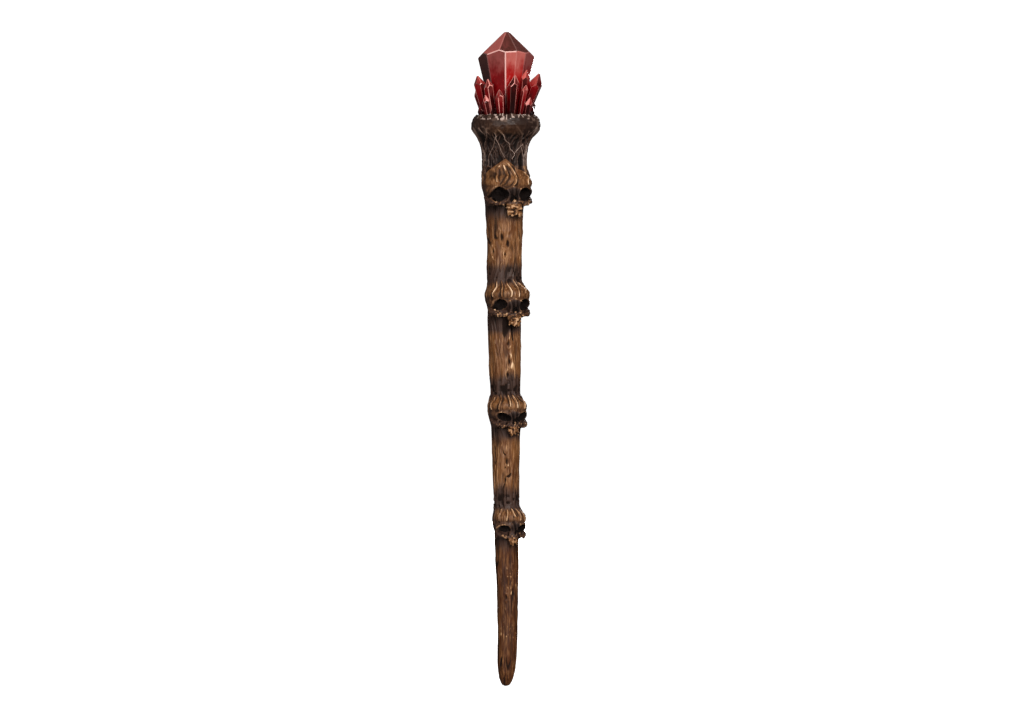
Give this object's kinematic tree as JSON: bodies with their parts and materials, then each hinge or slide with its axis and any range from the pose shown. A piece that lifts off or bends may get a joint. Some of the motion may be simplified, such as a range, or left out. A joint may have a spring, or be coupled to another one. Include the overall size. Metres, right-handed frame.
{
  "type": "magic wand",
  "caption": "Straight tapering wizard's wand with skulls round its shaft, a flared root-like collar and a cluster of faceted red crystals on top.",
  "frame": {"origin": "lowest point of the tip, on the wand's axis", "axes": "+Z along the wand from the tip to the large crystal's point; -Y is the front, and the skulls face 18 degrees from -Y towards +X"},
  "size_m": [0.0273, 0.0272, 0.25],
  "materials": {
    "rod_steel": "plain drawn rod, not seen",
    "tip_paint": "cast resin painted dark red-brown with tan flecks, carved with wood grain, satin",
    "shaft_paint": "cast resin painted brown with a dark wash in the grain and golden tan dry-brushed ridges, satin",
    "skull_paint": "cast resin painted tan with gold highlights and near-black sockets, satin",
    "collar_paint": "cast resin painted dark grey-brown with paler root ridges and brown rim, satin",
    "bed_resin": "dark potting resin, glossy",
    "crystal_resin": "translucent cast resin, deep red, glossy, with paler rubbed edges"
  },
  "bodies": {
    "root": {"core_rod": "rod_steel", "tip_shaft": "tip_paint", "lower_shaft": "shaft_paint", "middle_shaft": "shaft_paint", "upper_shaft": "shaft_paint", "skull_1": "skull_paint", "skull_2": "skull_paint", "skull_3": "skull_paint", "skull_4": "skull_paint", "collar": "collar_paint", "crystal_bed": "bed_resin", "large_crystal": "crystal_resin", "left_tall_crystal": "crystal_resin", "left_front_crystal": "crystal_resin", "front_low_crystal": "crystal_resin", "front_tall_crystal": "crystal_resin", "right_slim_crystal": "crystal_resin", "right_inner_crystal": "crystal_resin", "right_tall_crystal": "crystal_resin", "right_rear_crystal": "crystal_resin", "rear_right_crystal": "crystal_resin", "rear_right_centre_crystal": "crystal_resin", "rear_centre_crystal": "crystal_resin", "rear_left_crystal": "crystal_resin", "left_rear_crystal": "crystal_resin", "left_front_point": "crystal_resin", "left_point": "crystal_resin", "right_front_point": "crystal_resin", "right_point": "crystal_resin", "rear_right_point": "crystal_resin", "rear_point": "crystal_resin", "rear_left_point": "crystal_resin", "left_rear_point": "crystal_resin"}
  },
  "joints": []
}
